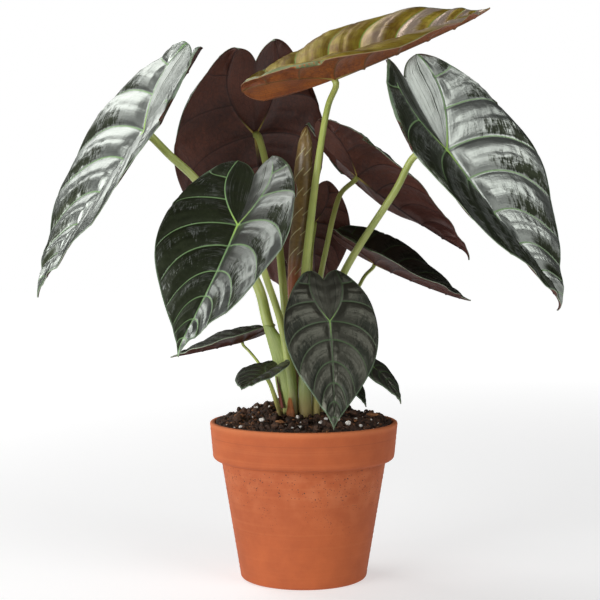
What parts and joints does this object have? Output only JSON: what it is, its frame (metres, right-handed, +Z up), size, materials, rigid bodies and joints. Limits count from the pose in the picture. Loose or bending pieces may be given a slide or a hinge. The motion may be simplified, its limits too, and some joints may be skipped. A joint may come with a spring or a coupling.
{
  "type": "potted alocasia",
  "caption": "Alocasia in a tapered terracotta pot with a banded rim: arrow-shaped quilted leaves on long stalks, a rolled new leaf and a mounded bark and perlite mix.",
  "frame": {"origin": "centre of the pot's base, on the face it stands on", "axes": "+Z up; the side shown in the reference view faces -Y, and +X is to its right"},
  "size_m": [0.3614, 0.2309, 0.3979],
  "materials": {
    "terracotta": "unglazed, matt, faint throwing lines and mineral bloom",
    "soil": "matt, damp, coarse bark and peat mix",
    "crown": "matt, fibrous",
    "blade": "satin, silver sheen between pale green veins, burgundy underneath",
    "young_blade": "satin, olive gold with green veins, rusty underneath",
    "stalk": "satin, fine lengthwise streaks",
    "new_leaf": "satin, olive brown with pale slanting veins, red at the foot",
    "sheath": "dry, matt, papery",
    "perlite": "matt, porous",
    "bark": "matt, rough"
  },
  "bodies": {
    "root": {"pot": "terracotta", "soil": "soil", "crown": "crown", "leaf_left_blade": "blade", "leaf_left_stalk": "stalk", "leaf_back_blade": "blade", "leaf_back_stalk": "stalk", "leaf_front_left_blade": "blade", "leaf_front_left_stalk": "stalk", "leaf_right_blade": "blade", "leaf_right_stalk": "stalk", "leaf_top_blade": "young_blade", "leaf_top_stalk": "stalk", "leaf_right_rear_blade": "blade", "leaf_right_rear_stalk": "stalk", "leaf_front_blade": "blade", "leaf_front_stalk": "stalk", "leaf_right_low_blade": "blade", "leaf_right_low_stalk": "stalk", "leaf_small_right_blade": "blade", "leaf_small_right_stalk": "stalk", "leaf_tiny_right_blade": "blade", "leaf_tiny_right_stalk": "stalk", "leaf_small_left_blade": "blade", "leaf_small_left_stalk": "stalk", "leaf_low_round_blade": "blade", "leaf_low_round_stalk": "stalk", "leaf_mid_rear_blade": "blade", "leaf_mid_rear_stalk": "stalk", "new_leaf": "new_leaf", "dry_bract": "sheath", "cataphyll": "sheath", "perlite_1": "perlite", "perlite_2": "perlite", "perlite_3": "perlite", "perlite_4": "perlite", "perlite_5": "perlite", "perlite_6": "perlite", "perlite_7": "perlite", "perlite_8": "perlite", "perlite_9": "perlite", "bark_1": "bark", "bark_2": "bark", "bark_3": "bark", "bark_4": "bark", "bark_5": "bark", "bark_6": "bark"}
  },
  "joints": []
}
